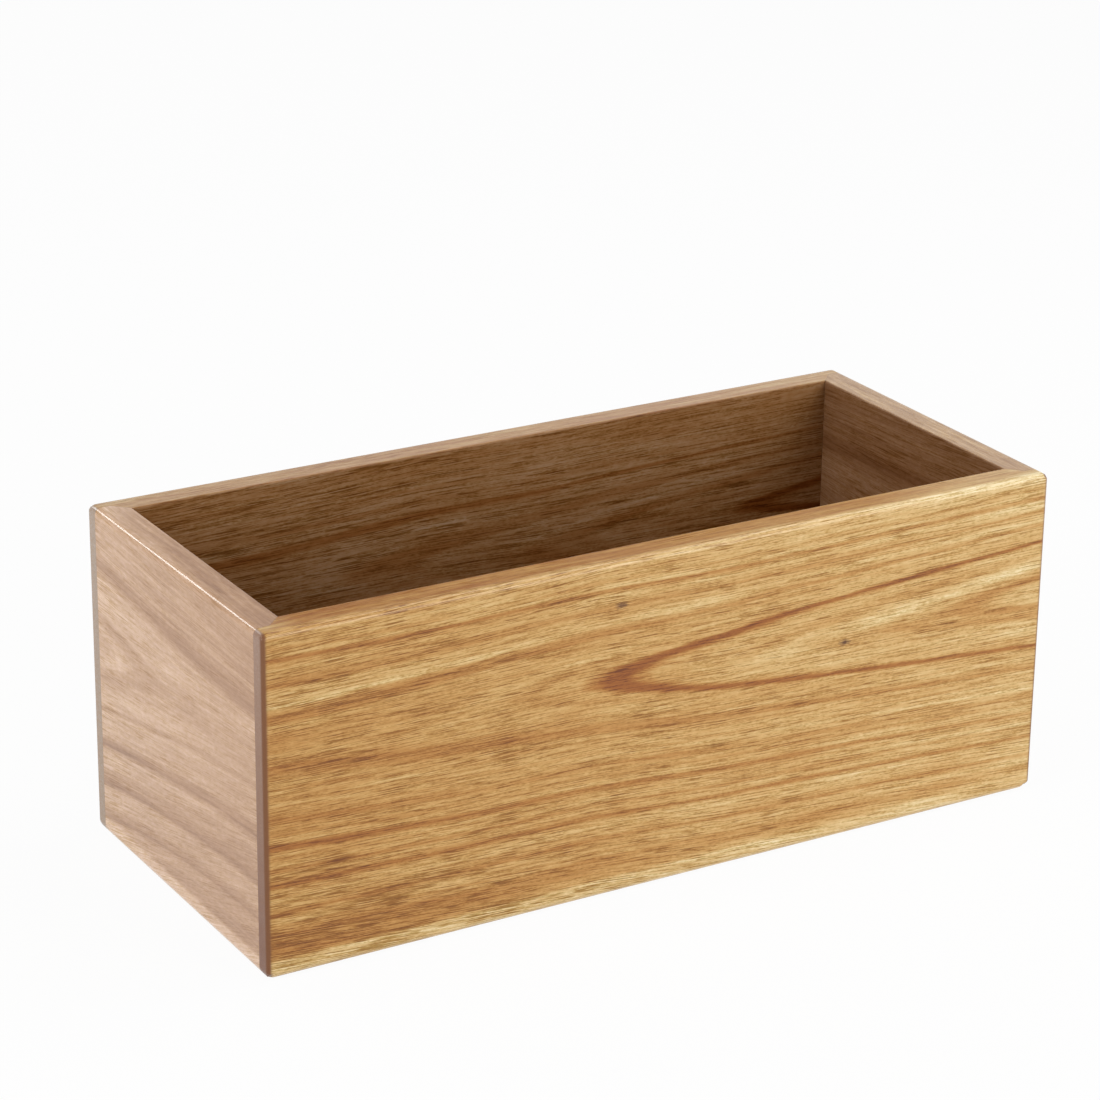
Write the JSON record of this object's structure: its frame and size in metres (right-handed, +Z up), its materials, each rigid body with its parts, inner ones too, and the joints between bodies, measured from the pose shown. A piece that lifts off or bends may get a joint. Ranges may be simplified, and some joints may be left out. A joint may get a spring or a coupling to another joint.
{
  "type": "open-topped wooden table caddy",
  "caption": "Open-topped rectangular wooden box that stands on a table and holds sauce bottles and jars side by side.",
  "frame": {"origin": "on the standing surface, under the middle of the box", "axes": "+X along the long boards, from the left end board to the right one; +Y from the front board to the back board; +Z up"},
  "size_m": [0.265, 0.115, 0.105],
  "materials": {
    "front_board_wood": "satin clear lacquer over figured honey-brown hardwood",
    "back_board_wood": "satin clear lacquer over figured honey-brown hardwood",
    "left_end_board_wood": "satin clear lacquer over figured honey-brown hardwood",
    "right_end_board_wood": "satin clear lacquer over figured honey-brown hardwood",
    "base_panel_wood": "satin clear lacquer over figured honey-brown hardwood"
  },
  "bodies": {
    "root": {"front_board": "front_board_wood", "back_board": "back_board_wood", "left_end_board": "left_end_board_wood", "right_end_board": "right_end_board_wood", "base_panel": "base_panel_wood"}
  },
  "joints": []
}
